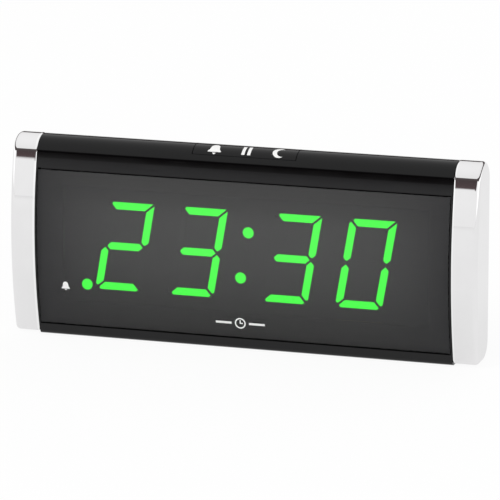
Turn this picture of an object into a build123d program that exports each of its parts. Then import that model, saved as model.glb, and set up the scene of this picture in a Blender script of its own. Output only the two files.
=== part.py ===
from build123d import *
import math
import os

# A mains LED desk clock: a lens-shaped black body between two chromed end caps,
# a smoked window over four slanted green digits, and a drafted rear housing.
# +X is to the right seen from the front, +Y runs to the back and +Z is up.
# The origin lies on the table, in the middle of the clock. All lengths are in millimetres.

# Overall shape
overall_width = 200.0
overall_depth = 46.0
body_height = 84.0
foot_stand = 0.4
cap_width = 11.0
cap_proud = 0.2
cap_lift = 0.9
slab_depth = 20.5
front_radius = 162.0
top_corner_radius = 8.0
lower_front_radius = 2.2
least_radius = 0.4
lower_rear_radius = 8.0
corner_share = 0.54

# Walls and general clearances
shell_wall = 2.0
end_wall = 2.0
cap_wall = 2.0
slip = 0.05
running_gap = 0.15
button_gap = 0.3
overrun = 5.0

# Front shell and window
window_rise = 5.45
window_top_margin = 13.25
window_thickness = 2.0
window_gap = 0.75
window_side_margin = 0.9
window_side_gap = 0.3
bond_gap = 0.1
seat_wall = 1.5
cap_outer_round = 2.0
cap_rim_round = 0.8
peg_diameter = 4.0
peg_reach = 4.5
peg_setback = 11.0
peg_spacing = 28.0

# Rear housing
housing_side_step = 9.0
housing_side_draft = 3.0
housing_top_drop = 6.4
housing_back_drop = 22.4
housing_round = 5.0
housing_low_round = 3.0
gland_flange = 2.0

# Display
display_setback = 4.5
reflector_side_margin = 11.0
reflector_rise_margin = 8.65
reflector_depth = 8.0
reflector_clearance = 0.5
row_offset = 0.6
row_lift = 1.9
segment_span_share = 0.5253
segment_half_width = 8.4
segment_thickness = 3.05
segment_gap = 1.0
segment_round = 0.75
slant_angle = 9.7
digit_pitch_share = 0.2026
colon_pitch_share = 0.2583
dot_diameter = 4.6
colon_rise_share = 0.28
alarm_dot_share = 0.1064
led_length = 3.0
led_width = 1.6
led_height = 0.6
board_thickness = 1.6
component_round = 0.45
display_board_margin = 5.4
display_board_rise_margin = 9.65

# Screws, shared by the boards, the transformer and the shells
board_screw_diameter = 2.2
board_screw_length = 7.0
board_screw_head = 4.0
board_screw_head_height = 1.3
shell_screw_diameter = 2.6
shell_screw_length = 10.0
shell_screw_head = 4.6
shell_screw_head_height = 1.1
shell_screw_inset = 4.7
shell_screw_margin = 12.8
boss_diameter = 6.0
board_post_diameter = 5.0
board_post_gap = 0.8
board_post_spacing = 24.0

# Alarm pause bar on the top, with its switch
pause_bar_width = 44.0
pause_bar_setback = 0.18
pause_bar_depth = 9.69
parting_margin = 1.66
pause_bar_skirt = 3.6
pause_bar_skin = 1.6
pause_travel = 0.8
pause_tab_reach = 1.5
pause_tab_width = 2.6
pause_tab_height = 1.6
pause_tab_drop = 0.9
pause_leg_inset = 3.75
pause_leg_diameter = 3.4
pause_leg_length = 2.6
pause_board_width = 32.0
pause_board_depth = 8.6
pause_board_reach = 1.1
pause_board_thickness = 1.2
ledge_width = 4.0
ledge_height = 1.6

# Push switches under every button
switch_size = 6.0
switch_height = 3.5
plunger_diameter = 3.5
plunger_reach = 1.9
plunger_seat = 0.7

# Set buttons on the back
set_button_names = ["time", "alarm", "hour", "minute"]
set_button_diameter = 7.0
set_button_proud = 1.2
set_button_flange = 9.0
set_button_flange_height = 1.0
set_button_pitch = 14.0
set_button_inset = 17.0
set_button_drop = 32.4
set_button_round = 0.5
set_travel = 0.5

# Alarm on and off slider on the back
slider_offset = 20.0
slider_length = 6.0
slider_height = 3.2
slider_proud = 1.2
slider_travel = 2.0
slider_flange_length = 13.0
slider_flange_height = 6.4
slider_flange_thickness = 1.0
slide_switch_length = 8.6
slide_switch_width = 4.4
lever_size = 1.5
lever_seat = 2.2
lever_grip = 2.2

# Main board and what it carries
main_board_margin = 5.0
main_board_drop = 19.9
main_board_gap = 0.8
board_standoff = 6.5
main_post_inset = 4.0
chip_length = 18.0
chip_width = 7.6
chip_height = 2.6
chip_inset = 23.5
chip_pin_count = 14
chip_pin_width = 0.5
chip_pin_thickness = 0.4
chip_lift = 0.6
large_can_diameter = 10.0
medium_can_diameter = 8.0
small_can_diameter = 6.3
capacitor_height = 11.0
capacitor_pitch = 12.0
capacitor_inset = 34.0
capacitor_groove = 0.3
diode_diameter = 2.6
diode_length = 5.0
diode_lead_diameter = 0.7
diode_lead_length = 2.4
diode_pitch = 3.6
diode_inset = 36.0
crystal_diameter = 3.0
crystal_length = 8.0
crystal_inset = 11.0
buzzer_diameter = 9.6
buzzer_height = 6.2
buzzer_inset = 22.0
buzzer_hole = 2.0
sound_hole = 1.8
sound_ring = 3.2
sound_hole_count = 6

# Ribbon between the boards
connector_width = 26.0
connector_height = 6.0
connector_depth = 5.5
connector_rise = 11.0
ribbon_thickness = 0.9
ribbon_side_margin = 1.2
ribbon_leg = 1.5

# Transformer
transformer_margin = 7.0
core_width = 32.0
core_height = 26.0
core_stack = 10.0
core_leg = 10.0
core_yoke = 4.0
core_window = 6.0
winding_depth = 15.0
transformer_lift = 4.0
transformer_back_gap = 1.5
bracket_thickness = 0.8
bracket_ear = 8.0
winding_gap = 0.15

# Backup cells and their bay
cell_diameter = 10.5
cell_body_length = 43.3
cell_nub_diameter = 3.8
cell_nub_length = 1.2
cell_gap = 0.3
bay_inset = 30.0
bay_rise = 17.5
tray_wall = 1.2
tray_flange = 2.4
contact_thickness = 0.4
contact_room = 1.6
contact_width = 8.0
contact_tail = 2.5
door_margin = 2.0
door_gap = 0.2
door_rib_thickness = 1.2
door_rib_height = 1.0
door_grip_count = 3
door_grip_width = 14.0
door_grip_depth = 0.5
door_grip_pitch = 2.4
door_grip_height = 1.0

# Cord gland
gland_inset = 8.0
gland_rise = 13.6
gland_bore = 4.4
gland_neck = 8.0
gland_flange_diameter = 11.0
gland_barrel_diameter = 9.4
gland_barrel_length = 3.5
gland_chamfer = 0.6

# Vents beside the transformer
vent_count = 5
vent_width = 1.8
vent_height = 18.0
vent_pitch = 5.0
vent_rise = 20.0

# Feet
foot_length = 24.0
foot_width = 4.0
foot_recess = 0.8
foot_inset = 20.0
front_foot_setback = 14.6
rear_foot_inset = 6.5

# Hook-up wires
wire_diameter = 1.4
wire_bend = 1.6
wire_pitch = 4.0
wire_drop = 2.2
wire_landing = 3.0

# Stations worked out from the sizes above
body_width = overall_width - 2 * cap_width
front_y = cap_proud - overall_depth / 2
slab_back_y = front_y + slab_depth
top_setback = front_radius - math.sqrt(front_radius**2 - (body_height / 2) ** 2)
pause_bar_front_y = front_y + top_setback + pause_bar_setback
parting_y = pause_bar_front_y + pause_bar_depth + parting_margin
back_y = overall_depth / 2 - gland_flange
back_inner_y = back_y - shell_wall
body_bottom = foot_stand
body_top = body_bottom + body_height
mid_z = body_bottom + body_height / 2
floor_z = body_bottom + shell_wall
seat_depth = window_thickness + bond_gap
window_bottom = body_bottom + window_rise
window_height = body_height - window_rise - window_top_margin
window_width = body_width - 2 * window_side_margin
housing_half_width = body_width / 2 - housing_side_step
housing_inner_half = housing_half_width - housing_side_draft - shell_wall
reflector_width = body_width - 2 * reflector_side_margin
reflector_height = window_height - 2 * reflector_rise_margin
display_board_width = body_width - 2 * display_board_margin
display_board_height = window_height - 2 * display_board_rise_margin
segment_span = segment_span_share * window_height
colon_rise = colon_rise_share * segment_span
row_z = window_bottom + window_height / 2 + row_lift
reflector_y = front_y + display_setback
display_board_y = reflector_y + reflector_depth
display_board_back_y = display_board_y + board_thickness
main_board_back_y = back_inner_y - board_standoff
main_board_y = main_board_back_y - board_thickness
core_base_z = floor_z + transformer_lift
core_mid_z = core_base_z + core_height / 2
main_board_bottom = core_base_z + core_height + bracket_thickness + main_board_gap
main_board_top = body_top - main_board_drop
main_board_mid_z = (main_board_bottom + main_board_top) / 2
main_board_half = housing_inner_half - main_board_margin
set_button_z = body_top - set_button_drop
set_button_first = housing_inner_half - set_button_inset
slider_place = set_button_first - (len(set_button_names) - 1) * set_button_pitch - slider_offset
buzzer_place = buzzer_inset - housing_inner_half
transformer_place = (
    housing_inner_half - core_width / 2 - bracket_thickness - bracket_ear - transformer_margin
)
bay_place = bay_inset - housing_inner_half
gland_place = housing_inner_half - gland_inset
foot_place = housing_half_width - foot_inset
bay_z = body_bottom + bay_rise
gland_z = body_bottom + gland_rise
vent_z = body_bottom + vent_rise


# A plane across the clock at one depth: its x is +X, its y is +Z and it faces the front.
def depth_plane(y):
    return Plane.XZ.offset(-y)


# The depth of the front curve, or of a curve inset behind it, at a height.
def front_curve_y(z, inset):
    return front_y + front_radius - math.sqrt((front_radius - inset) ** 2 - (z - mid_z) ** 2)


# The side profile of the body, drawn in a sketch on a YZ plane: a shallow front arc,
# a round top, and a flat back and base with rounded corners. An end cap, which is drawn
# with an inset below nothing, stops a little short of the base.
def draw_body_profile(inset, front_inset):
    rear = slab_back_y - inset
    low = body_bottom + (cap_lift if inset < 0 else inset)
    high = body_top - inset
    corner_limit = corner_share * (rear - front_curve_y(high, front_inset))
    corners = [
        ((front_y, low), lower_front_radius),
        ((front_y, high), top_corner_radius),
        ((rear, low), lower_rear_radius),
        ((rear, high), top_corner_radius),
    ]
    with Locations((front_y + front_radius, mid_z)):
        Circle(front_radius - front_inset)
    with Locations(((front_y - overrun + rear) / 2, (low + high) / 2)):
        Rectangle(rear - front_y + overrun, high - low, mode=Mode.INTERSECT)
    for place, radius in corners:
        radius = max(min(radius - inset, corner_limit), least_radius)
        fillet(vertices().sort_by_distance(place)[0], radius)


# A band that follows the front curve, between two insets and two heights.
def draw_front_band(outer_inset, inner_inset, low, high):
    with Locations((front_y + front_radius, mid_z)):
        Circle(front_radius - outer_inset)
        Circle(front_radius - inner_inset, mode=Mode.SUBTRACT)
    with Locations((front_y + (slab_depth - overrun) / 2, (low + high) / 2)):
        Rectangle(slab_depth + overrun, high - low, mode=Mode.INTERSECT)


# The rear housing as a solid, behind the body and running on into it: a flat base, an
# upright back, a top that slopes down to it and sides that draw in a little.
def make_housing(inset):
    reach = overrun + inset
    with BuildPart() as housing:
        with BuildSketch(Plane.YZ):
            Polygon(
                (parting_y - reach, body_bottom),
                (back_y, body_bottom),
                (back_y, body_top - housing_back_drop),
                (slab_back_y, body_top - housing_top_drop),
                (parting_y - reach, body_top - housing_top_drop),
                align=None,
            )
            if inset > 0:
                offset(amount=-inset, kind=Kind.INTERSECTION, mode=Mode.REPLACE)
        extrude(amount=housing_half_width, both=True)
        with BuildSketch(Plane.XY):
            Polygon(
                (-housing_half_width + inset, parting_y - reach),
                (housing_half_width - inset, parting_y - reach),
                (housing_half_width - inset, slab_back_y),
                (housing_half_width - housing_side_draft - inset, back_y),
                (-housing_half_width + housing_side_draft + inset, back_y),
                (-housing_half_width + inset, slab_back_y),
                align=None,
            )
        extrude(amount=body_top, mode=Mode.INTERSECT)
    return housing.part


# Places shared by the shells and the screws that join them
shell_screw_x = body_width / 2 - shell_screw_inset
shell_screw_zs = [body_bottom + shell_screw_margin, body_top - shell_screw_margin - end_wall]
shell_screw_places = [(side * shell_screw_x, z) for side in (-1, 1) for z in shell_screw_zs]

display_post_x = reflector_width / 2 + board_post_gap + board_post_diameter / 2
display_post_places = [
    (row_offset + sx * display_post_x, row_z + sz * board_post_spacing / 2)
    for sx in (-1, 1)
    for sz in (-1, 1)
]

main_post_x = main_board_half - main_post_inset
main_post_places = [(side * main_post_x, main_board_mid_z) for side in (-1, 1)]

ear_x = core_width / 2 + bracket_thickness + bracket_ear / 2
ear_top_z = core_base_z + bracket_thickness
transformer_y = back_inner_y - transformer_back_gap - winding_depth / 2
ear_places = [(transformer_place + side * ear_x, transformer_y) for side in (-1, 1)]

peg_y = front_y + peg_setback
peg_places = [(peg_y, mid_z - peg_spacing / 2), (peg_y, mid_z + peg_spacing / 2)]

front_foot_y = front_y + front_foot_setback
rear_foot_y = back_y - rear_foot_inset

# Heights of the pause bar's parts, from the roof down
pause_plunger_top = body_top - shell_wall - pause_leg_length
pause_switch_z = pause_plunger_top - plunger_reach - switch_height
pause_board_z = pause_switch_z - pause_board_thickness
ledge_z = pause_board_z - ledge_height
pause_bar_y = pause_bar_front_y + pause_bar_depth / 2
pause_bar_low = body_top - shell_wall - pause_bar_skirt
pause_tab_top = body_top - shell_wall - pause_tab_drop
ledge_x = pause_board_width / 2 - ledge_width / 2
pause_bar_back_y = pause_bar_front_y + pause_bar_depth
pause_leg_y = pause_bar_back_y - pause_leg_inset
pause_board_y = pause_bar_back_y + pause_board_reach - pause_board_depth / 2


# Front shell: roll, lower strip, window seat, bosses and the pause bar's opening
with BuildPart() as front_shell:
    with BuildSketch(Plane.YZ):
        draw_body_profile(0, 0)
    extrude(amount=body_width / 2, both=True)
    with BuildSketch(Plane.YZ):
        draw_body_profile(shell_wall, seat_depth + seat_wall)
    extrude(amount=body_width / 2 - end_wall, both=True, mode=Mode.SUBTRACT)
    split(bisect_by=depth_plane(parting_y), keep=Keep.TOP)
    # Seat for the window
    with BuildSketch(Plane.YZ):
        draw_front_band(-overrun, seat_depth, window_bottom - window_gap,
                        window_bottom + window_height + window_gap)
    extrude(amount=window_width / 2 + window_side_gap, both=True, mode=Mode.SUBTRACT)
    # Bosses for the shell screws
    for x, z in shell_screw_places:
        boss_tip = front_curve_y(z, seat_depth + seat_wall / 2)
        with BuildSketch(depth_plane(parting_y)):
            with Locations((x, z)):
                Circle(boss_diameter / 2)
        extrude(amount=parting_y - boss_tip)
    # Posts for the display board
    for x, z in display_post_places:
        post_root = front_curve_y(z, seat_depth + seat_wall / 2)
        with BuildSketch(depth_plane(display_board_y)):
            with Locations((x, z)):
                Circle(board_post_diameter / 2)
        extrude(amount=display_board_y - post_root)
    # Ledges that carry the pause switch board
    ledge_root = front_curve_y(ledge_z, seat_depth + seat_wall / 2)
    ledge_tip = pause_board_y + pause_board_depth / 2
    with BuildSketch(Plane.XY.offset(ledge_z)):
        with Locations(*[(side * ledge_x, (ledge_root + ledge_tip) / 2) for side in (-1, 1)]):
            Rectangle(ledge_width, ledge_tip - ledge_root)
    extrude(amount=ledge_height)
    # Opening through which the display shows
    with BuildSketch(depth_plane(front_y)):
        with Locations((row_offset, row_z)):
            Rectangle(reflector_width + 2 * reflector_clearance,
                      reflector_height + 2 * reflector_clearance)
    extrude(amount=front_y - display_board_y, mode=Mode.SUBTRACT)
    # Opening for the pause bar
    with BuildSketch(Plane.XY.offset(body_top - top_corner_radius)):
        with Locations((0, pause_bar_y)):
            Rectangle(pause_bar_width + 2 * button_gap, pause_bar_depth + 2 * button_gap)
    extrude(amount=top_corner_radius + overrun, mode=Mode.SUBTRACT)
    # Pilot holes in the bosses and posts
    with BuildSketch(depth_plane(parting_y)):
        with Locations(*shell_screw_places):
            Circle(shell_screw_diameter / 2 + slip)
    extrude(amount=shell_screw_length, mode=Mode.SUBTRACT)
    post_hole = board_screw_length - board_thickness + slip
    with BuildSketch(depth_plane(display_board_y)):
        with Locations(*display_post_places):
            Circle(board_screw_diameter / 2 + slip)
    extrude(amount=post_hole, mode=Mode.SUBTRACT)
    # Peg holes in the end walls
    with BuildSketch(Plane.YZ.offset(-body_width / 2)):
        with Locations(*peg_places):
            Circle(peg_diameter / 2 + slip)
    extrude(amount=body_width, mode=Mode.SUBTRACT)
    # Pockets for the front feet
    with BuildSketch(Plane.XY.offset(body_bottom)):
        with Locations(*[(side * foot_place, front_foot_y) for side in (-1, 1)]):
            SlotOverall(foot_length + 2 * slip, foot_width + 2 * slip)
    extrude(amount=foot_recess, mode=Mode.SUBTRACT)
front_shell.part.label = "front_shell"

# Smoked window, curved like the body
with BuildPart() as display_window:
    with BuildSketch(Plane.YZ):
        draw_front_band(0, window_thickness, window_bottom, window_bottom + window_height)
    extrude(amount=window_width / 2, both=True)
display_window.part.label = "display_window"


# An end cap: a hollow cover, a little proud of the body, with two pegs
def make_end_cap(side):
    with BuildPart() as cap:
        with BuildSketch(Plane.YZ.offset(side * body_width / 2)):
            draw_body_profile(-cap_proud, -cap_proud)
        extrude(amount=side * cap_width)
        outer_face = cap.faces().sort_by(Axis.X)[-1 if side > 0 else 0]
        fillet(outer_face.edges(), cap_outer_round)
        rim_face = cap.faces().sort_by(Axis.X)[0 if side > 0 else -1]
        fillet(rim_face.edges(), cap_rim_round)
        with BuildSketch(Plane.YZ.offset(side * body_width / 2)):
            draw_body_profile(cap_wall, cap_wall)
        extrude(amount=side * (cap_width - cap_wall), mode=Mode.SUBTRACT)
        with BuildSketch(Plane.YZ.offset(side * (body_width / 2 - peg_reach))):
            with Locations(*peg_places):
                Circle(peg_diameter / 2)
        extrude(amount=side * (peg_reach + cap_width - cap_wall))
    return cap.part


left_end_cap = make_end_cap(-1)
left_end_cap.label = "left_end_cap"
right_end_cap = make_end_cap(1)
right_end_cap.label = "right_end_cap"

# Bay for the backup cells, as the tray, the shell and the door share it
bay_length = cell_body_length + cell_nub_length + 2 * contact_room
bay_height = 2 * cell_diameter + 3 * cell_gap
bay_depth = cell_diameter + 2 * cell_gap
tray_floor_y = back_inner_y - bay_depth - tray_wall
door_length = bay_length + 2 * door_margin
door_height = bay_height + 2 * door_margin
cell_y = back_inner_y - cell_gap - cell_diameter / 2
cell_rise = (cell_diameter + cell_gap) / 2

# Places on the back
set_button_places = [
    (set_button_first - i * set_button_pitch, set_button_z) for i in range(len(set_button_names))
]
sound_places = [(buzzer_place, set_button_z)] + [
    (
        buzzer_place + sound_ring * math.cos(math.tau * i / sound_hole_count),
        set_button_z + sound_ring * math.sin(math.tau * i / sound_hole_count),
    )
    for i in range(sound_hole_count)
]

# Rear shell: the back of the body and the housing behind it
with BuildPart() as rear_shell:
    add(make_housing(0))
    back_edges = rear_shell.faces().sort_by(Axis.Y)[-1].edges()
    slope_edges = rear_shell.faces().sort_by(Axis.Z)[-2].edges().filter_by(Axis.X, reverse=True)
    fillet(back_edges.sort_by(Axis.Z)[1:] + slope_edges, housing_round)
    fillet(rear_shell.faces().sort_by(Axis.Z)[0].edges().sort_by(Axis.Y)[-1], housing_low_round)
    with BuildSketch(Plane.YZ):
        draw_body_profile(0, 0)
    extrude(amount=body_width / 2, both=True)
    split(bisect_by=depth_plane(parting_y), keep=Keep.BOTTOM)
    with BuildSketch(Plane.YZ):
        draw_body_profile(shell_wall, seat_depth + seat_wall)
    extrude(amount=body_width / 2 - end_wall, both=True, mode=Mode.SUBTRACT)
    add(make_housing(shell_wall), mode=Mode.SUBTRACT)
    # Screw seats at the four corners
    with BuildSketch(depth_plane(parting_y)):
        with Locations(*shell_screw_places):
            Circle(boss_diameter / 2)
    extrude(amount=parting_y - slab_back_y + shell_wall / 2)
    # Posts for the main board
    with BuildSketch(depth_plane(main_board_back_y)):
        with Locations(*main_post_places):
            Circle(board_post_diameter / 2)
    extrude(amount=-(board_standoff + shell_wall / 2))
    # Platform and posts under the transformer
    with BuildSketch(Plane.XY.offset(body_bottom + shell_wall / 2)):
        with Locations((transformer_place, transformer_y)):
            Rectangle(core_leg, core_stack)
        with Locations(*ear_places):
            Circle(board_post_diameter / 2)
    extrude(amount=transformer_lift + shell_wall / 2)
    # Screw holes from the back
    with BuildSketch(depth_plane(slab_back_y)):
        with Locations(*shell_screw_places):
            Circle(shell_screw_diameter / 2 + running_gap)
    extrude(amount=slab_back_y - parting_y, mode=Mode.SUBTRACT)
    with BuildSketch(depth_plane(slab_back_y)):
        with Locations(*shell_screw_places):
            Circle(shell_screw_head / 2 + running_gap)
    extrude(amount=shell_screw_head_height, mode=Mode.SUBTRACT)
    # Pilot holes
    with BuildSketch(depth_plane(main_board_back_y)):
        with Locations(*main_post_places):
            Circle(board_screw_diameter / 2 + slip)
    extrude(amount=-post_hole, mode=Mode.SUBTRACT)
    with BuildSketch(Plane.XY.offset(floor_z + transformer_lift)):
        with Locations(*ear_places):
            Circle(board_screw_diameter / 2 + slip)
    extrude(amount=-transformer_lift - slip, mode=Mode.SUBTRACT)
    # Openings in the back: set buttons, slider, sound holes, door, gland and vents
    with BuildSketch(depth_plane(back_y)):
        with Locations(*set_button_places):
            Circle(set_button_diameter / 2 + running_gap)
        with Locations((slider_place + slider_travel / 2, set_button_z)):
            Rectangle(slider_length + slider_travel + 2 * button_gap, slider_height + 2 * button_gap)
        with Locations(*sound_places):
            Circle(sound_hole / 2)
        with Locations((bay_place, bay_z)):
            Rectangle(door_length + 2 * door_gap, door_height + 2 * door_gap)
        with Locations((gland_place, gland_z)):
            Circle(gland_neck / 2 + slip)
        with Locations((transformer_place, vent_z)):
            with GridLocations(vent_pitch, 0, vent_count, 1):
                SlotOverall(vent_height, vent_width, rotation=90)
    extrude(amount=shell_wall, mode=Mode.SUBTRACT)
    # Pockets for the rear feet
    with BuildSketch(Plane.XY.offset(body_bottom)):
        with Locations(*[(side * foot_place, rear_foot_y) for side in (-1, 1)]):
            SlotOverall(foot_length + 2 * slip, foot_width + 2 * slip)
    extrude(amount=foot_recess, mode=Mode.SUBTRACT)
rear_shell.part.label = "rear_shell"

# Pause bar: follows the body's top, hangs on two tabs and presses its switch with a leg
with BuildPart() as pause_bar:
    with BuildSketch(Plane.YZ):
        draw_body_profile(0, 0)
    extrude(amount=pause_bar_width / 2, both=True)
    with BuildSketch(Plane.XY.offset(pause_bar_low)):
        with Locations((0, pause_bar_y)):
            Rectangle(pause_bar_width, pause_bar_depth)
    extrude(amount=body_height, mode=Mode.INTERSECT)
    with BuildSketch(Plane.XY.offset(pause_bar_low)):
        with Locations((0, pause_leg_y)):
            Rectangle(pause_bar_width - 2 * pause_bar_skin, 2 * (pause_leg_inset - pause_bar_skin))
    extrude(amount=pause_bar_skirt, mode=Mode.SUBTRACT)
    with BuildSketch(Plane.XY.offset(pause_tab_top)):
        with Locations((0, pause_leg_y)):
            with GridLocations(pause_bar_width + pause_tab_reach, 0, 2, 1):
                Rectangle(pause_tab_reach, pause_tab_width)
    extrude(amount=-pause_tab_height)
    with BuildSketch(Plane.XY.offset(pause_plunger_top)):
        with Locations((0, pause_leg_y)):
            Circle(pause_leg_diameter / 2)
    extrude(amount=pause_leg_length)
pause_bar.part.label = "pause_bar"


# A push switch's case, standing on a plane, with a well for its plunger to travel in
def make_switch(plane, place, travel):
    with BuildPart() as case:
        with BuildSketch(plane):
            with Locations(place):
                RectangleRounded(switch_size, switch_size, component_round)
        extrude(amount=switch_height)
        with BuildSketch(plane.offset(switch_height)):
            with Locations(place):
                Circle(plunger_diameter / 2 + running_gap)
        extrude(amount=-(plunger_seat + travel + running_gap), mode=Mode.SUBTRACT)
    return case.part


# A push switch's plunger
def make_plunger(plane, place):
    with BuildPart() as plunger:
        with BuildSketch(plane.offset(switch_height - plunger_seat)):
            with Locations(place):
                Circle(plunger_diameter / 2)
        extrude(amount=plunger_seat + plunger_reach)
    return plunger.part


# Small board under the pause bar, with its switch
with BuildPart() as pause_board:
    with BuildSketch(Plane.XY.offset(pause_board_z)):
        with Locations((0, pause_board_y)):
            Rectangle(pause_board_width, pause_board_depth)
    extrude(amount=pause_board_thickness)
pause_board.part.label = "pause_board"

pause_switch_plane = Plane.XY.offset(pause_switch_z)
pause_switch = make_switch(pause_switch_plane, (0, pause_leg_y), pause_travel)
pause_switch.label = "pause_switch"
pause_plunger = make_plunger(pause_switch_plane, (0, pause_leg_y))
pause_plunger.label = "pause_plunger"


# A set button on the back: a round cap with a flange that keeps it in
def make_set_button(place):
    flange_front_y = main_board_back_y + switch_height + plunger_reach
    with BuildPart() as button:
        with BuildSketch(depth_plane(flange_front_y)):
            with Locations(place):
                Circle(set_button_flange / 2)
        extrude(amount=-set_button_flange_height)
        with BuildSketch(depth_plane(flange_front_y)):
            with Locations(place):
                Circle(set_button_diameter / 2)
        extrude(amount=-(back_y + set_button_proud - flange_front_y))
        fillet(button.edges().group_by(Axis.Y)[-1], set_button_round)
    return button.part


rear_switch_plane = Plane(origin=(0, main_board_back_y, 0), x_dir=(-1, 0, 0), z_dir=(0, 1, 0))
set_buttons = {}
for name, (x, z) in zip(set_button_names, set_button_places):
    set_buttons[name + "_button"] = make_set_button((x, z))
    set_buttons[name + "_switch"] = make_switch(rear_switch_plane, (-x, z), set_travel)
    set_buttons[name + "_plunger"] = make_plunger(rear_switch_plane, (-x, z))
for name, piece in set_buttons.items():
    piece.label = name

# Alarm slider: knob outside, lever inside, in a fixed case
slider_flange_y = back_inner_y - running_gap
with BuildPart() as alarm_slider:
    with BuildSketch(depth_plane(slider_flange_y)):
        with Locations((slider_place, set_button_z)):
            Rectangle(slider_flange_length, slider_flange_height)
    extrude(amount=slider_flange_thickness)
    with BuildSketch(depth_plane(slider_flange_y)):
        with Locations((slider_place, set_button_z)):
            Rectangle(slider_length, slider_height)
    extrude(amount=-(back_y + slider_proud - slider_flange_y))
    fillet(alarm_slider.edges().group_by(Axis.Y)[-1], set_button_round)
    with BuildSketch(depth_plane(slider_flange_y - slider_flange_thickness)):
        with Locations((slider_place, set_button_z)):
            Rectangle(lever_size + 2 * slip, lever_size + 2 * slip)
    extrude(amount=-lever_grip, mode=Mode.SUBTRACT)
alarm_slider.part.label = "alarm_slider"

with BuildPart() as alarm_lever:
    lever_base_y = main_board_back_y + switch_height - lever_seat
    lever_tip_y = slider_flange_y - slider_flange_thickness + lever_grip
    with BuildSketch(depth_plane(lever_base_y)):
        with Locations((slider_place, set_button_z)):
            Rectangle(lever_size, lever_size)
    extrude(amount=-(lever_tip_y - lever_base_y))
alarm_lever.part.label = "alarm_lever"

with BuildPart() as alarm_slide_switch:
    with BuildSketch(depth_plane(main_board_back_y)):
        with Locations((slider_place + slider_travel / 2, set_button_z)):
            Rectangle(slide_switch_length, slide_switch_width)
    extrude(amount=-switch_height)
    with BuildSketch(depth_plane(main_board_back_y + switch_height)):
        with Locations((slider_place + slider_travel / 2, set_button_z)):
            Rectangle(lever_size + slider_travel + 2 * running_gap, lever_size + 2 * running_gap)
    extrude(amount=lever_seat + running_gap, mode=Mode.SUBTRACT)
alarm_slide_switch.part.label = "alarm_slide_switch"

# Digits: places of the segments in an upright digit, from its centre
segment_half = segment_thickness / 2
miter = segment_gap / math.sqrt(2)
span_half = segment_span / 2
slant = math.tan(math.radians(slant_angle))


def slanted(points, centre_x):
    return [(centre_x + x + slant * z, row_z + z) for x, z in points]


# A bar across the top or the bottom, mitred at both ends
def cross_bar(sign):
    far = sign * (span_half + segment_half)
    near = sign * (span_half - segment_half)
    long_end = segment_half_width + segment_half - miter
    short_end = segment_half_width - segment_half - miter
    return [(-long_end, far), (long_end, far), (short_end, near), (-short_end, near)]


# The bar in the middle, pointed at both ends
def middle_bar():
    tip = segment_half_width - miter
    short_end = tip - segment_half
    return [
        (-tip, 0),
        (-short_end, segment_half),
        (short_end, segment_half),
        (tip, 0),
        (short_end, -segment_half),
        (-short_end, -segment_half),
    ]


# An upright bar: mitred at its far end and pointed at the middle of the digit
def upright_bar(side, sign):
    outer = side * (segment_half_width + segment_half)
    inner = side * (segment_half_width - segment_half)
    outer_far = sign * (span_half + segment_half - miter)
    inner_far = sign * (span_half - segment_half - miter)
    return [
        (outer, outer_far),
        (inner, inner_far),
        (inner, sign * (segment_half + miter)),
        (side * segment_half_width, sign * miter),
        (outer, sign * (segment_half + miter)),
    ]


segment_outlines = {
    "a": cross_bar(1),
    "b": upright_bar(1, 1),
    "c": upright_bar(1, -1),
    "d": cross_bar(-1),
    "e": upright_bar(-1, -1),
    "f": upright_bar(-1, 1),
    "g": middle_bar(),
}
digit_pitch = digit_pitch_share * reflector_width
colon_pitch = colon_pitch_share * reflector_width
digit_names = ["hour_tens", "hour_ones", "minute_tens", "minute_ones"]
digit_centres = [
    row_offset - colon_pitch / 2 - digit_pitch,
    row_offset - colon_pitch / 2,
    row_offset + colon_pitch / 2,
    row_offset + colon_pitch / 2 + digit_pitch,
]
lit_segments = ["abged", "abgcd", "abgcd", "abcdef"]
colon_places = [(row_offset + sign * slant * colon_rise, row_z + sign * colon_rise) for sign in (-1, 1)]
alarm_dot_place = (digit_centres[0] - alarm_dot_share * reflector_width, row_z - span_half)


# One segment's face, grown by a clearance, in a sketch across the clock
def draw_segment(letter, centre_x, grow):
    Polygon(*slanted(segment_outlines[letter], centre_x), align=None)
    if grow > 0:
        offset(amount=grow, kind=Kind.INTERSECTION, mode=Mode.REPLACE)


# Segments as separate light guides, from the display's face to just before the LEDs
def make_segments(choices):
    with BuildPart() as guides:
        for letter, centre_x in choices:
            with BuildSketch(depth_plane(reflector_y)):
                draw_segment(letter, centre_x, 0)
                fillet(vertices(), segment_round)
            extrude(amount=-(reflector_depth - led_height - running_gap))
    return guides.part


def make_dots(places):
    with BuildPart() as dots:
        with BuildSketch(depth_plane(reflector_y)):
            with Locations(*places):
                Circle(dot_diameter / 2)
        extrude(amount=-(reflector_depth - led_height - running_gap))
    return dots.part


digit_parts = {}
unlit_choices = []
for name, centre_x, lit in zip(digit_names, digit_centres, lit_segments):
    digit_parts[name + "_segments"] = make_segments([(letter, centre_x) for letter in lit])
    unlit_choices += [(letter, centre_x) for letter in segment_outlines if letter not in lit]
digit_parts["unlit_segments"] = make_segments(unlit_choices)
digit_parts["colon_dots"] = make_dots(colon_places)
digit_parts["alarm_dot"] = make_dots([alarm_dot_place])
for name, piece in digit_parts.items():
    piece.label = name

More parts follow.
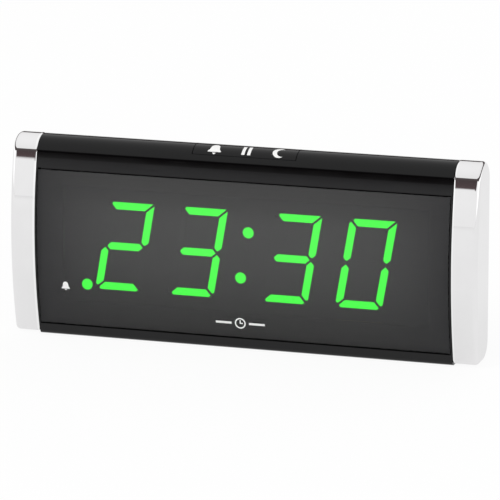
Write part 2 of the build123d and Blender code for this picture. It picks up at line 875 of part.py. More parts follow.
# Reflector block that holds the light guides
with BuildPart() as display_reflector:
    with BuildSketch(depth_plane(reflector_y)):
        with Locations((row_offset, row_z)):
            Rectangle(reflector_width, reflector_height)
    extrude(amount=-reflector_depth)
    for centre_x in digit_centres:
        for letter in segment_outlines:
            with BuildSketch(depth_plane(reflector_y)):
                draw_segment(letter, centre_x, slip)
            extrude(amount=-reflector_depth, mode=Mode.SUBTRACT)
    with BuildSketch(depth_plane(reflector_y)):
        with Locations(*colon_places, alarm_dot_place):
            Circle(dot_diameter / 2 + slip)
    extrude(amount=-reflector_depth, mode=Mode.SUBTRACT)
display_reflector.part.label = "display_reflector"

# Display board with one LED behind every segment and dot
with BuildPart() as display_board:
    with BuildSketch(depth_plane(display_board_y)):
        with Locations((row_offset, row_z)):
            Rectangle(display_board_width, display_board_height)
        with Locations(*display_post_places):
            Circle(board_screw_diameter / 2 + slip, mode=Mode.SUBTRACT)
    extrude(amount=-board_thickness)
display_board.part.label = "display_board"

led_spots = []
for centre_x in digit_centres:
    for letter in segment_outlines:
        flat = letter in "adg"
        mid_x = 0 if flat else segment_half_width * (1 if letter in "bc" else -1)
        mid_height = {"a": span_half, "d": -span_half, "g": 0}.get(letter)
        if mid_height is None:
            mid_height = span_half / 2 * (1 if letter in "bf" else -1)
        led_spots.append((centre_x + mid_x + slant * mid_height, row_z + mid_height, flat))
with BuildPart() as segment_leds:
    with BuildSketch(depth_plane(display_board_y)):
        for x, z, flat in led_spots:
            with Locations((x, z)):
                Rectangle(led_length if flat else led_width, led_width if flat else led_length)
        with Locations(*colon_places, alarm_dot_place):
            Rectangle(led_length, led_width)
    extrude(amount=led_height)
segment_leds.part.label = "segment_leds"

# Main board on the rear shell's posts
with BuildPart() as main_board:
    with BuildSketch(depth_plane(main_board_y)):
        with Locations((0, main_board_mid_z)):
            Rectangle(2 * main_board_half, main_board_top - main_board_bottom)
        with Locations(*main_post_places):
            Circle(board_screw_diameter / 2 + slip, mode=Mode.SUBTRACT)
    extrude(amount=-board_thickness)
main_board.part.label = "main_board"

# Clock chip with two rows of pins
with BuildPart() as clock_chip:
    pin_pitch = chip_length / chip_pin_count
    chip_place = chip_inset - main_board_half
    with BuildSketch(depth_plane(main_board_y - chip_lift)):
        with Locations((chip_place, main_board_mid_z)):
            Rectangle(chip_length, chip_width)
    extrude(amount=chip_height)
    with BuildSketch(depth_plane(main_board_y)):
        with Locations((chip_place, main_board_mid_z)):
            with GridLocations(pin_pitch, chip_width + chip_pin_thickness, chip_pin_count, 2):
                Rectangle(chip_pin_width, chip_pin_thickness)
    extrude(amount=chip_lift + chip_height / 2)
clock_chip.part.label = "clock_chip"

# Electrolytic capacitors, each with a groove round its can
with BuildPart() as capacitors:
    can_diameters = [large_can_diameter, medium_can_diameter, small_can_diameter]
    for i, diameter in enumerate(can_diameters):
        can_place = (main_board_half - capacitor_inset + i * capacitor_pitch, main_board_mid_z)
        with BuildSketch(depth_plane(main_board_y)):
            with Locations(can_place):
                Circle(diameter / 2)
        extrude(amount=capacitor_height)
        with BuildSketch(depth_plane(main_board_y - capacitor_height / 5)):
            with Locations(can_place):
                Circle(diameter / 2)
                Circle(diameter / 2 - capacitor_groove, mode=Mode.SUBTRACT)
        extrude(amount=capacitor_groove, mode=Mode.SUBTRACT)
capacitors.part.label = "capacitors"

# Rectifier diodes standing on their leads
with BuildPart() as rectifier_diodes:
    diode_centre = (diode_inset - main_board_half, main_board_mid_z)
    with BuildSketch(depth_plane(main_board_y)):
        with Locations(diode_centre):
            with GridLocations(diode_pitch, diode_pitch, 2, 2):
                Circle(diode_lead_diameter / 2)
    extrude(amount=diode_lead_length)
    with BuildSketch(depth_plane(main_board_y - diode_lead_length)):
        with Locations(diode_centre):
            with GridLocations(diode_pitch, diode_pitch, 2, 2):
                Circle(diode_diameter / 2)
    extrude(amount=diode_length)
rectifier_diodes.part.label = "rectifier_diodes"

# Timing crystal
with BuildPart() as timing_crystal:
    with BuildSketch(depth_plane(main_board_y)):
        with Locations((crystal_inset - main_board_half, main_board_mid_z)):
            Circle(crystal_diameter / 2)
    extrude(amount=crystal_length)
    fillet(timing_crystal.edges().group_by(Axis.Y)[0], component_round)
timing_crystal.part.label = "timing_crystal"

# Alarm buzzer behind the sound holes
with BuildPart() as alarm_buzzer:
    with BuildSketch(depth_plane(main_board_back_y)):
        with Locations((buzzer_place, set_button_z)):
            Circle(buzzer_diameter / 2)
    extrude(amount=-buzzer_height)
    with BuildSketch(depth_plane(main_board_back_y + buzzer_height)):
        with Locations((buzzer_place, set_button_z)):
            Circle(buzzer_hole / 2)
    extrude(amount=buzzer_hole, mode=Mode.SUBTRACT)
alarm_buzzer.part.label = "alarm_buzzer"

# Connectors, mouths down, and the ribbon that hangs between them
connector_z = row_z + connector_rise
display_plug_y = display_board_back_y + connector_depth / 2
main_plug_y = main_board_y - connector_depth / 2
with BuildPart() as ribbon_connectors:
    with BuildSketch(Plane.XY.offset(connector_z)):
        with Locations((0, display_plug_y), (0, main_plug_y)):
            Rectangle(connector_width, connector_depth)
    extrude(amount=connector_height)
ribbon_connectors.part.label = "ribbon_connectors"

with BuildPart() as link_ribbon:
    ribbon_mid_y = (display_plug_y + main_plug_y) / 2
    ribbon_radius = (main_plug_y - display_plug_y) / 2
    loop_z = connector_z - ribbon_leg
    with BuildSketch(Plane.YZ):
        with Locations((ribbon_mid_y, loop_z)):
            Circle(ribbon_radius + ribbon_thickness / 2)
            Circle(ribbon_radius - ribbon_thickness / 2, mode=Mode.SUBTRACT)
        with Locations((ribbon_mid_y, loop_z - slab_depth / 2)):
            Rectangle(overall_depth, slab_depth, mode=Mode.INTERSECT)
        with Locations((display_plug_y, loop_z + ribbon_leg / 2), (main_plug_y, loop_z + ribbon_leg / 2)):
            Rectangle(ribbon_thickness, ribbon_leg)
    extrude(amount=connector_width / 2 - ribbon_side_margin, both=True)
link_ribbon.part.label = "link_ribbon"

# Transformer: a laminated core, its winding and a bracket over it
window_z_size = core_height - 2 * core_yoke
with BuildPart() as transformer_core:
    with BuildSketch(depth_plane(transformer_y)):
        with Locations((transformer_place, core_mid_z)):
            Rectangle(core_width, core_height)
            with GridLocations(core_leg + core_window, 0, 2, 1):
                Rectangle(core_window, window_z_size, mode=Mode.SUBTRACT)
    extrude(amount=core_stack / 2, both=True)
transformer_core.part.label = "transformer_core"

with BuildPart() as transformer_winding:
    winding_width = core_leg + 2 * (core_window - winding_gap)
    with BuildSketch(Plane.XY.offset(core_base_z + core_yoke + winding_gap)):
        with Locations((transformer_place, transformer_y)):
            RectangleRounded(winding_width, winding_depth, core_yoke / 2)
            Rectangle(core_leg + 2 * slip, core_stack + 2 * slip, mode=Mode.SUBTRACT)
    extrude(amount=window_z_size - 2 * winding_gap)
transformer_winding.part.label = "transformer_winding"

with BuildPart() as transformer_bracket:
    with BuildSketch(depth_plane(transformer_y)):
        with Locations((transformer_place, core_base_z + (core_height + bracket_thickness) / 2)):
            Rectangle(core_width + 2 * bracket_thickness, core_height + bracket_thickness)
        with Locations((transformer_place, core_mid_z)):
            Rectangle(core_width, core_height, mode=Mode.SUBTRACT)
        with Locations((transformer_place, core_base_z + bracket_thickness / 2)):
            with GridLocations(core_width + 2 * bracket_thickness + bracket_ear, 0, 2, 1):
                Rectangle(bracket_ear, bracket_thickness)
    extrude(amount=core_stack / 2, both=True)
    with BuildSketch(Plane.XY.offset(core_base_z)):
        with Locations(*ear_places):
            Circle(board_screw_diameter / 2 + slip)
    extrude(amount=bracket_thickness, mode=Mode.SUBTRACT)
transformer_bracket.part.label = "transformer_bracket"

# Cell tray behind the door
with BuildPart() as battery_tray:
    with BuildSketch(depth_plane(tray_floor_y)):
        with Locations((bay_place, bay_z)):
            Rectangle(bay_length + 2 * tray_wall, bay_height + 2 * tray_wall)
    extrude(amount=-(back_inner_y - tray_floor_y))
    with BuildSketch(depth_plane(back_inner_y)):
        with Locations((bay_place, bay_z)):
            Rectangle(bay_length + 2 * (tray_wall + tray_flange),
                      bay_height + 2 * (tray_wall + tray_flange))
    extrude(amount=tray_wall)
    with BuildSketch(depth_plane(back_inner_y)):
        with Locations((bay_place, bay_z)):
            Rectangle(bay_length, bay_height)
    extrude(amount=bay_depth, mode=Mode.SUBTRACT)
    # Slots for the contact tails
    with BuildSketch(depth_plane(tray_floor_y)):
        with Locations((bay_place + bay_length / 2 - contact_thickness / 2 - slip, bay_z)):
            with GridLocations(0, 2 * cell_rise, 1, 2):
                Rectangle(contact_thickness + 2 * slip, contact_width / 2)
    extrude(amount=-tray_wall, mode=Mode.SUBTRACT)
battery_tray.part.label = "battery_tray"


# A backup cell lying along X, its nub to one side
def make_cell(rise, nub_side):
    flat_end = bay_place - nub_side * (cell_body_length + cell_nub_length) / 2
    with BuildPart() as cell:
        with BuildSketch(Plane.YZ.offset(flat_end)):
            with Locations((cell_y, bay_z + rise)):
                Circle(cell_diameter / 2)
        extrude(amount=nub_side * cell_body_length)
        with BuildSketch(Plane.YZ.offset(flat_end + nub_side * cell_body_length)):
            with Locations((cell_y, bay_z + rise)):
                Circle(cell_nub_diameter / 2)
        extrude(amount=nub_side * cell_nub_length)
        fillet(cell.edges().filter_by(GeomType.CIRCLE).group_by(SortBy.RADIUS)[-1], component_round)
    return cell.part


upper_cell = make_cell(cell_rise, 1)
upper_cell.label = "upper_cell"
lower_cell = make_cell(-cell_rise, -1)
lower_cell.label = "lower_cell"

# Contacts: a bridge across both cells at one end, two bent leaves with tails at the other
contact_bow = contact_room - contact_thickness - running_gap
with BuildPart() as battery_contacts:
    bridge_x = bay_place - bay_length / 2
    with BuildSketch(Plane.YZ.offset(bridge_x)):
        with Locations((cell_y, bay_z)):
            Rectangle(contact_width, bay_height - 2 * cell_gap)
    extrude(amount=contact_thickness)
    with BuildSketch(Plane.YZ.offset(bridge_x + contact_thickness)):
        with Locations((cell_y, bay_z)):
            with GridLocations(0, 2 * cell_rise, 1, 2):
                Circle(cell_nub_diameter / 2)
    extrude(amount=contact_bow, taper=20)
    leaf_x = bay_place + bay_length / 2
    leaf_low_y = tray_floor_y - contact_tail
    leaf_high_y = cell_y + contact_width / 2
    with BuildSketch(Plane.YZ.offset(leaf_x - slip)):
        with Locations((cell_y, bay_z)):
            with GridLocations(0, 2 * cell_rise, 1, 2):
                Rectangle(contact_width, contact_width)
        with Locations(((leaf_low_y + leaf_high_y) / 2, bay_z)):
            with GridLocations(0, 2 * cell_rise, 1, 2):
                Rectangle(leaf_high_y - leaf_low_y, contact_width / 2 - 2 * slip)
    extrude(amount=-contact_thickness)
    with BuildSketch(Plane.YZ.offset(leaf_x - slip - contact_thickness)):
        with Locations((cell_y, bay_z)):
            with GridLocations(0, 2 * cell_rise, 1, 2):
                Circle(cell_nub_diameter / 2)
    extrude(amount=-(contact_bow - slip), taper=20)
battery_contacts.part.label = "battery_contacts"

# Battery door, flush with the back, with a rib between the cells and grip lines outside
with BuildPart() as battery_door:
    with BuildSketch(depth_plane(back_inner_y)):
        with Locations((bay_place, bay_z)):
            Rectangle(door_length, door_height)
    extrude(amount=-shell_wall)
    with BuildSketch(depth_plane(back_inner_y)):
        with Locations((bay_place, bay_z)):
            Rectangle(cell_body_length - 2 * door_margin, door_rib_thickness)
    extrude(amount=door_rib_height)
    grip_x = bay_place - door_length / 2 + door_grip_width
    with BuildSketch(depth_plane(back_y)):
        with Locations((grip_x, bay_z)):
            with GridLocations(0, door_grip_pitch, 1, door_grip_count):
                Rectangle(door_grip_width, door_grip_height)
    extrude(amount=door_grip_depth, mode=Mode.SUBTRACT)
battery_door.part.label = "battery_door"

# Cord gland: a bushing through the back
with BuildPart() as cord_gland:
    with BuildSketch(depth_plane(back_y)):
        with Locations((gland_place, gland_z)):
            Circle(gland_flange_diameter / 2)
    extrude(amount=-gland_flange)
    chamfer(cord_gland.edges().group_by(Axis.Y)[-1], gland_chamfer)
    with BuildSketch(depth_plane(back_y)):
        with Locations((gland_place, gland_z)):
            Circle(gland_neck / 2)
    extrude(amount=shell_wall)
    with BuildSketch(depth_plane(back_inner_y)):
        with Locations((gland_place, gland_z)):
            Circle(gland_barrel_diameter / 2)
    extrude(amount=gland_barrel_length)
    chamfer(cord_gland.edges().group_by(Axis.Y)[0], gland_chamfer)
    with BuildSketch(depth_plane(back_y + gland_flange)):
        with Locations((gland_place, gland_z)):
            Circle(gland_bore / 2)
    extrude(amount=gland_flange + shell_wall + gland_barrel_length, mode=Mode.SUBTRACT)
cord_gland.part.label = "cord_gland"


# A rubber foot pressed into its pocket
def make_foot(x, y):
    with BuildPart() as foot:
        with BuildSketch(Plane.XY):
            with Locations((x, y)):
                SlotOverall(foot_length, foot_width)
        extrude(amount=foot_stand + foot_recess)
        chamfer(foot.edges().group_by(Axis.Z)[0], slip * 4)
    return foot.part


feet = {
    "foot_front_left": make_foot(-foot_place, front_foot_y),
    "foot_front_right": make_foot(foot_place, front_foot_y),
    "foot_rear_left": make_foot(-foot_place, rear_foot_y),
    "foot_rear_right": make_foot(foot_place, rear_foot_y),
}
for name, piece in feet.items():
    piece.label = name


# Pan-head screws with cross recesses, as groups of a seat plane, its places and the side
# of the plane that the shanks go to
def make_screws(groups, diameter, length, head, head_height):
    with BuildPart() as screws:
        for plane, places, direction in groups:
            with BuildSketch(plane):
                with Locations(*places):
                    Circle(diameter / 2)
            extrude(amount=direction * length)
            with BuildSketch(plane):
                with Locations(*places):
                    Circle(head / 2)
            extrude(amount=-direction * head_height)
            with BuildSketch(plane.offset(-direction * head_height)):
                with Locations(*places):
                    Rectangle(head / 2, head / 8)
                    Rectangle(head / 8, head / 2)
            extrude(amount=direction * head_height / 2, mode=Mode.SUBTRACT)
    return screws.part


shell_screw_plane = depth_plane(slab_back_y - shell_screw_head_height)
shell_screws = make_screws([(shell_screw_plane, shell_screw_places, 1)], shell_screw_diameter,
                           shell_screw_length, shell_screw_head, shell_screw_head_height)
shell_screws.label = "shell_screws"

board_screws = make_screws(
    [
        (depth_plane(display_board_back_y), display_post_places, 1),
        (depth_plane(main_board_y), main_post_places, -1),
    ],
    board_screw_diameter,
    board_screw_length,
    board_screw_head,
    board_screw_head_height,
)
board_screws.label = "board_screws"

transformer_screws = make_screws([(Plane.XY.offset(ear_top_z), ear_places, -1)],
                                 board_screw_diameter, transformer_lift + bracket_thickness,
                                 board_screw_head, board_screw_head_height)
transformer_screws.label = "transformer_screws"


# A hook-up wire along a route of straight runs and tangent arcs
def make_wire(points):
    with BuildPart() as wire:
        with BuildLine() as route:
            FilletPolyline(*points, radius=wire_bend)
        with BuildSketch(Plane(origin=route.line @ 0, z_dir=route.line % 0)):
            Circle(wire_diameter / 2)
        sweep()
    return wire.part


landing_z = main_board_bottom + wire_landing
secondary_y = transformer_y - winding_depth / 2
secondary_z = core_mid_z + window_z_size / 4
wires = []
for i in range(2):
    wire_x = transformer_place + (i - 0.5) * wire_pitch
    wires.append(make_wire([
        (wire_x, secondary_y, secondary_z),
        (wire_x, secondary_y - wire_drop, secondary_z),
        (wire_x, secondary_y - wire_drop, landing_z),
        (wire_x, main_board_y, landing_z),
    ]))
tail_y = tray_floor_y - contact_tail / 2
for i in range(2):
    wire_x = leaf_x + (i + 1) * wire_pitch
    tail_z = bay_z + (1 - 2 * i) * cell_rise
    wires.append(make_wire([
        (leaf_x - slip, tail_y, tail_z),
        (wire_x, tail_y, tail_z),
        (wire_x, tail_y, landing_z),
        (wire_x, main_board_y, landing_z),
    ]))
hookup_wires = Compound(children=wires)
hookup_wires.label = "hookup_wires"

pieces = {
    "front_shell": front_shell.part,
    "display_window": display_window.part,
    "left_end_cap": left_end_cap,
    "right_end_cap": right_end_cap,
    "rear_shell": rear_shell.part,
    "pause_bar": pause_bar.part,
    "pause_board": pause_board.part,
    "pause_switch": pause_switch,
    "pause_plunger": pause_plunger,
    **set_buttons,
    "alarm_slider": alarm_slider.part,
    "alarm_lever": alarm_lever.part,
    "alarm_slide_switch": alarm_slide_switch.part,
    **digit_parts,
    "display_reflector": display_reflector.part,
    "display_board": display_board.part,
    "segment_leds": segment_leds.part,
    "main_board": main_board.part,
    "clock_chip": clock_chip.part,
    "capacitors": capacitors.part,
    "rectifier_diodes": rectifier_diodes.part,
    "timing_crystal": timing_crystal.part,
    "alarm_buzzer": alarm_buzzer.part,
    "ribbon_connectors": ribbon_connectors.part,
    "link_ribbon": link_ribbon.part,
    "transformer_core": transformer_core.part,
    "transformer_winding": transformer_winding.part,
    "transformer_bracket": transformer_bracket.part,
    "battery_tray": battery_tray.part,
    "upper_cell": upper_cell,
    "lower_cell": lower_cell,
    "battery_contacts": battery_contacts.part,
    "battery_door": battery_door.part,
    "cord_gland": cord_gland.part,
    **feet,
    "shell_screws": shell_screws,
    "board_screws": board_screws,
    "transformer_screws": transformer_screws,
    "hookup_wires": hookup_wires,
}
for name, piece in pieces.items():
    piece.label = name
    export_step(piece, "parts/" + name + ".step")
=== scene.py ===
import bmesh
import bpy
import math
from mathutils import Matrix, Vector
from mathutils.bvhtree import BVHTree


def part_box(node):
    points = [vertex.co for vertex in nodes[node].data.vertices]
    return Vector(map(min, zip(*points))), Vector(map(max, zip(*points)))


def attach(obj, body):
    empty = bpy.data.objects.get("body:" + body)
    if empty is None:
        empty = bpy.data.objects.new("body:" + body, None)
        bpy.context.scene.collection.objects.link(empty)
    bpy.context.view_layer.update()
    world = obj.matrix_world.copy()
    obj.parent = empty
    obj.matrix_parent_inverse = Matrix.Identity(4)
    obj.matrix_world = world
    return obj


# A mains LED desk clock at 23:30: gloss black body, smoked window, chromed end caps.
# Blender works in metres here; the sizes in the dictionaries are millimetres.

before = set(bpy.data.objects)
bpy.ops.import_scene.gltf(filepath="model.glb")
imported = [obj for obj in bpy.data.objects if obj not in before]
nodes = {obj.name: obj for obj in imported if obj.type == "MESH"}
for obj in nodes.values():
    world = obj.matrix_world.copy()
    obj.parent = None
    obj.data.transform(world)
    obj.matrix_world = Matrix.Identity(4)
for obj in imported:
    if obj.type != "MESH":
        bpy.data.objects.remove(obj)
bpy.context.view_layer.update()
scene = bpy.context.scene
mm = 0.001
print("frame loaded:", len(nodes), "nodes")


cameraLook = {
    "azimuth": 17.5,        # degrees to the right of straight ahead
    "elevation": 13.43,
    "distance": 1791.4,
    "aim": (3.57, -20.02, 43.32),
    "lens": 315.6,
    "sensor": 36,
    "clip": (0.01, 50),
}


def placeCamera(look):
    azimuth, elevation = math.radians(look["azimuth"]), math.radians(look["elevation"])
    back = Vector((
        math.sin(azimuth) * math.cos(elevation),
        -math.cos(azimuth) * math.cos(elevation),
        math.sin(elevation),
    ))
    lens = bpy.data.cameras.new("productCamera")
    lens.lens = look["lens"]
    lens.sensor_width = look["sensor"]
    lens.clip_start, lens.clip_end = look["clip"]
    camera = bpy.data.objects.new("productCamera", lens)
    scene.collection.objects.link(camera)
    camera.location = (Vector(look["aim"]) + back * look["distance"]) * mm
    camera.rotation_mode = "QUATERNION"
    camera.rotation_quaternion = (-back).to_track_quat("-Z", "Y")
    scene.camera = camera


placeCamera(cameraLook)
scene.view_settings.view_transform = "Standard"


class Tap:      # one output of a node; arithmetic on it adds Math nodes
    def __init__(self, graph, socket):
        self.graph = graph
        self.socket = socket

    def maths(self, operation, first, second):
        return self.graph.node("ShaderNodeMath", {"operation": operation}, {0: first, 1: second})

    def other(self, output):        # another output of the same node
        return Tap(self.graph, self.socket.node.outputs[output])

    def __add__(self, value):
        return self.maths("ADD", self, value)

    def __sub__(self, value):
        return self.maths("SUBTRACT", self, value)

    def __rsub__(self, value):
        return self.maths("SUBTRACT", value, self)

    def __mul__(self, value):
        return self.maths("MULTIPLY", self, value)

    def __truediv__(self, value):
        return self.maths("DIVIDE", self, value)

    def __gt__(self, value):
        return self.maths("GREATER_THAN", self, value)

    def __lt__(self, value):
        return self.maths("LESS_THAN", self, value)

    def __abs__(self):
        return self.maths("ABSOLUTE", self, 0.0)

    __radd__ = __add__
    __rmul__ = __mul__


class Graph:        # a node tree that is built from nothing
    def __init__(self, tree):
        self.tree = tree
        tree.nodes.clear()

    def node(self, kind, settings=None, inputs=None, output=0):
        made = self.tree.nodes.new(kind)
        for name, value in (settings or {}).items():
            if name == "stops":
                stops = made.color_ramp.elements
                while len(stops) < len(value):
                    stops.new(1.0)
                for stop, (position, colour) in zip(stops, value):
                    stop.position, stop.color = position, colour
            else:
                setattr(made, name, value)
        for name, value in (inputs or {}).items():
            if isinstance(value, Tap):
                self.tree.links.new(value.socket, made.inputs[name])
            else:
                made.inputs[name].default_value = value
        return Tap(self, made.outputs[output]) if made.outputs else None

    def point(self):        # the place on the surface, in millimetres
        place = self.node("ShaderNodeTexCoord", output="Object")
        return self.node("ShaderNodeVectorMath", {"operation": "SCALE"}, {0: place, "Scale": 1 / mm})

    def normal(self):       # the way the surface faces, along the axes of the clock
        return self.node("ShaderNodeTexCoord", output="Normal")

    def axis(self, point, letter):      # one coordinate of a point; other() gives the rest
        return self.node("ShaderNodeSeparateXYZ", {}, {0: point}, letter)

    def clamp(self, value):
        return self.node("ShaderNodeClamp", {}, {"Value": value})

    def grain(self, point, size, detail=2.0, stretch=(1, 1, 1)):        # noise whose lumps are size across
        drawn = self.node("ShaderNodeVectorMath", {"operation": "MULTIPLY"}, {0: point, 1: stretch})
        return self.node("ShaderNodeTexNoise", {}, {"Vector": drawn, "Scale": 1 / size, "Detail": detail})

    def specks(self, point, spacing, width):        # small dots, one in each cell of the spacing
        cell = self.node("ShaderNodeTexVoronoi", {}, {"Vector": point, "Scale": 1 / spacing})
        return cell < width / spacing / 2

    def lines(self, along, pitch, width):       # stripes across one axis, 1 on the stripe
        turn = along.maths("FRACT", along / pitch, 0.0)
        return turn < width / pitch

    def blend(self, share, first, second):      # a mix of two colours
        return self.node("ShaderNodeMix", {"data_type": "RGBA"}, {0: share, 6: first, 7: second}, 2)

    def between(self, share, low, high):        # a number from low to high as the share goes from 0 to 1
        return self.node("ShaderNodeMapRange", {}, {"Value": share, "To Min": low, "To Max": high})

    def bump(self, height, depth, strength=1.0):
        inputs = {"Height": height, "Distance": depth * mm, "Strength": strength}
        return self.node("ShaderNodeBump", {}, inputs)

    def skin(self, sockets):
        shader = self.node("ShaderNodeBsdfPrincipled", {}, sockets)
        self.node("ShaderNodeOutputMaterial", {}, {"Surface": shader})


def newMaterial(name):
    material = bpy.data.materials.new(name)
    material.use_nodes = True
    return material, Graph(material.node_tree)


def grey(level, alpha=1.0):
    return (level, level, level, alpha)


studioLook = {
    "backdrop": grey(1.0),
    "ambient": grey(0.72),
    "cards": (      # what polished faces see, by the sine of the height above the horizon
        (0.0, grey(0.90)),
        (0.167, grey(0.91)),
        (0.171, (0.085, 0.060, 0.062, 1)),
        (0.195, (0.062, 0.050, 0.051, 1)),
        (0.405, (0.085, 0.072, 0.072, 1)),
        (0.430, grey(0.86)),
        (1.0, grey(0.94)),
    ),
    "sideCards": grey(1.25),        # brighter cards far out to the sides, which the rounded edges catch
    "sideReach": (0.62, 0.84),      # where they start and are full, by the sine of the angle aside
    "sideHeight": 0.15,     # and how high they stand
    "floorSize": 6000,
    "floorColour": grey(0.9), "floorTint": grey(0.92), "floorGrain": 40.0,
    "glowSeen": 0.92,       # share of plain white that the camera sees of the floor
    "glowMirrored": 0.80,       # share of the dimmer white that polished faces see of it
    "mirroredLevel": 0.86,      # how white that is
}


def isSeen(graph):      # 1 for rays from the camera, polished faces and clear ones
    ray = graph.node("ShaderNodeLightPath", output="Is Camera Ray")
    return ray, ray.other("Is Glossy Ray"), ray.other("Is Transmission Ray")


def buildStudio(look):
    world = bpy.data.worlds.new("studio")
    world.use_nodes = True
    scene.world = world
    graph = Graph(world.node_tree)
    camera, glossy, clear = isSeen(graph)
    direction = graph.node("ShaderNodeTexCoord", output="Generated")
    axes = graph.axis(direction, "X")
    height = axes.other("Z")
    cards = graph.node("ShaderNodeValToRGB", {"stops": look["cards"]}, {0: height})
    near, far = look["sideReach"]
    aside = graph.clamp((abs(axes) - near) / (far - near)) * (height < look["sideHeight"])
    cards = graph.blend(aside, cards, look["sideCards"])
    colour = graph.blend(glossy, look["ambient"], cards)
    colour = graph.blend(camera + clear, colour, look["backdrop"])
    sky = graph.node("ShaderNodeBackground", {}, {"Color": colour, "Strength": 1.0})
    graph.node("ShaderNodeOutputWorld", {}, {"Surface": sky})

    half = look["floorSize"] / 2 * mm
    mesh = bpy.data.meshes.new("studioFloor")
    corners = [(-half, -half, 0), (half, -half, 0), (half, half, 0), (-half, half, 0)]
    mesh.from_pydata(corners, [], [(0, 1, 2, 3)])
    floor = bpy.data.objects.new("studioFloor", mesh)
    scene.collection.objects.link(floor)
    material, graph = newMaterial("paleFloor")
    paper = graph.grain(graph.point(), look["floorGrain"], 3.0)
    colour = graph.blend(paper, look["floorColour"], look["floorTint"])
    plain = graph.node("ShaderNodeBsdfDiffuse", {}, {"Color": colour})
    camera, glossy, clear = isSeen(graph)
    seen = graph.blend(glossy, look["backdrop"], grey(look["mirroredLevel"]))
    glow = graph.node("ShaderNodeEmission", {}, {"Color": seen, "Strength": 1.0})
    share = (camera + clear) * look["glowSeen"] + glossy * look["glowMirrored"]
    surface = graph.node("ShaderNodeMixShader", {}, {0: share, 1: plain, 2: glow})
    graph.node("ShaderNodeOutputMaterial", {}, {"Surface": surface})
    mesh.materials.append(material)


lampLooks = {
    "keyLamp": {"place": (-900, -1300, 1300), "size": 900, "power": 11.0},
    "fillLamp": {"place": (1400, -900, 700), "size": 900, "power": 4.0},
    "backLamp": {"place": (300, 1500, 1100), "size": 1000, "power": 6.0},
}


def buildLamps(looks):
    for name, look in looks.items():
        light = bpy.data.lights.new(name, "AREA")
        light.size = look["size"] * mm
        light.energy = look["power"]
        lamp = bpy.data.objects.new(name, light)
        lamp.location = Vector(look["place"]) * mm
        lamp.rotation_mode = "QUATERNION"
        lamp.rotation_quaternion = (-lamp.location).to_track_quat("-Z", "Y")
        lamp.visible_glossy = False     # polished faces see only the cards
        scene.collection.objects.link(lamp)


buildStudio(studioLook)
buildLamps(lampLooks)
print("studio and camera ready")


glossBlackLook = {
    "roof": (0.0006, 0.0006, 0.0008, 1), "strip": (0.0060, 0.0060, 0.0066, 1),
    "roofHeight": 76.0,     # painted shade: the shell is painted deepest black above this height
    "dust": (0.16, 0.155, 0.15, 1),
    "dustSpacing": 9.0, "dustWidth": 0.09,
    "ior": 1.45, "shine": 0.36,
    "roughness": (0.035, 0.10),
    "smudgeSize": 17.0,
    "peelSize": 3.4, "peelDepth": 0.0009,       # moulded skin, never quite flat
    "scratchSize": 0.35, "scratchStretch": (0.02, 1.0, 0.7),
    "scratchLevel": 0.70, "scratchRoughness": 0.05,
}


def glossBlack(look):
    material, graph = newMaterial("glossBlack")
    point = graph.point()
    dust = graph.specks(point, look["dustSpacing"], look["dustWidth"])
    smudge = graph.grain(point, look["smudgeSize"], 3.0)
    scratch = graph.grain(point, look["scratchSize"], 1.0, look["scratchStretch"]) > look["scratchLevel"]
    roughness = graph.between(smudge, *look["roughness"]) + scratch * look["scratchRoughness"]
    height = graph.axis(point, "Z")
    # painted shade: the top of the shell is painted darker than the black below it
    colour = graph.blend(height > look["roofHeight"], look["strip"], look["roof"])
    graph.skin({
        "Base Color": graph.blend(dust, colour, look["dust"]),
        "Roughness": roughness,
        "IOR": look["ior"],
        "Specular IOR Level": look["shine"],
        "Normal": graph.bump(graph.grain(point, look["peelSize"], 1.0), look["peelDepth"]),
    })
    return material


satinBlackLook = {
    "colours": ((0.021, 0.021, 0.023, 1), (0.032, 0.032, 0.034, 1)),
    "tint": 14.0,
    "grainSize": 0.32, "grainDepth": 0.020,     # spark-eroded mould texture
    "roughness": (0.42, 0.58),
    "strength": 0.62,
    "ior": 1.46,
}


def satinBlack(look):
    material, graph = newMaterial("satinBlack")
    point = graph.point()
    pits = graph.grain(point, look["grainSize"], 3.0)
    cloud = graph.grain(point, look["tint"], 4.0)
    graph.skin({
        "Base Color": graph.blend(cloud, *look["colours"]),
        "Roughness": graph.between(pits, *look["roughness"]),
        "IOR": look["ior"],
        "Normal": graph.bump(pits, look["grainDepth"], look["strength"]),
    })
    return material


windowLook = {
    "middle": (     # painted shade: the colour of the middle, from the lower edge up, painted darker at the lower edge and the top
        (0.0, grey(0.036)),
        (0.14, grey(0.050)),
        (0.28, grey(0.067)),
        (0.435, grey(0.081)),
        (0.59, grey(0.088)),
        (0.75, grey(0.090)),
        (0.90, grey(0.066)),
        (1.0, grey(0.060)),
    ),
    "ends": (0.030, 0.030, 0.032, 1),
    "foot": (0.024, 0.024, 0.026, 1),       # painted shade: painted darker still at the lower ends
    # painted shade: the colour and slope of the faces painted near black for the gaps around the window
    "edge": (0.0015, 0.0015, 0.0015, 1), "shadedEdgeSlope": 0.6,
    "halfWidth": 88.0, "low": 8.0, "high": 70.0,
    "alpha": 0.54, "ior": 1.49,
    "roughness": (0.05, 0.09),
    "smudgeSize": 24.0,
    "waveSize": 11.0, "waveDepth": 0.0008,
}


